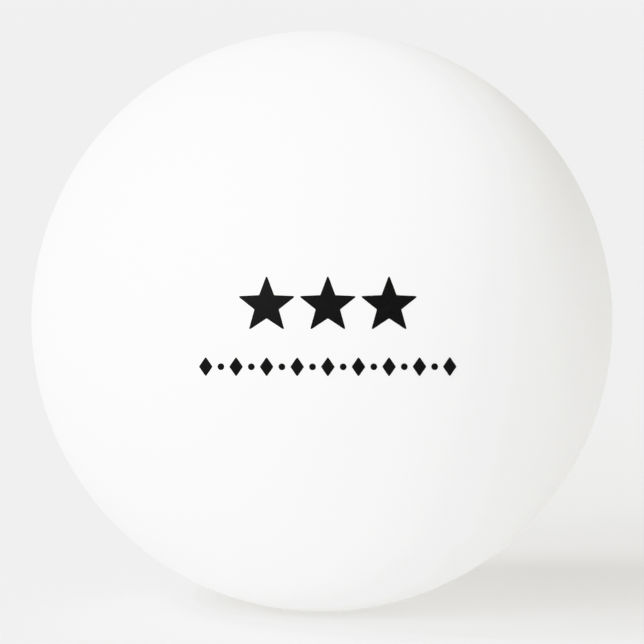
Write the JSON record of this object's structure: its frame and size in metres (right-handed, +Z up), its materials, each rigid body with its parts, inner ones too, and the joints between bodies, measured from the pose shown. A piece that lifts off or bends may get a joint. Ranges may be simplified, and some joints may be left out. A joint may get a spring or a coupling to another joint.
{
  "type": "table tennis ball",
  "caption": "Hollow white plastic ball for table tennis, made of bonded half shells, with a small black printed mark of stars over a border.",
  "frame": {"origin": "centre of the ball", "axes": "+Z up; Y is the axis both half shells are turned about, so the seam lies in the XZ plane; the print faces -Y"},
  "size_m": [0.04, 0.04, 0.04],
  "materials": {
    "white_plastic": "tumbled matte white ABS",
    "bond": "set solvent bond, slightly clearer than the shells",
    "black_ink": "satin pad-printed ink"
  },
  "bodies": {
    "root": {"front_half_shell": "white_plastic", "rear_half_shell": "white_plastic", "seam_bond": "bond", "printed_stars": "black_ink", "printed_border": "black_ink"}
  },
  "joints": []
}
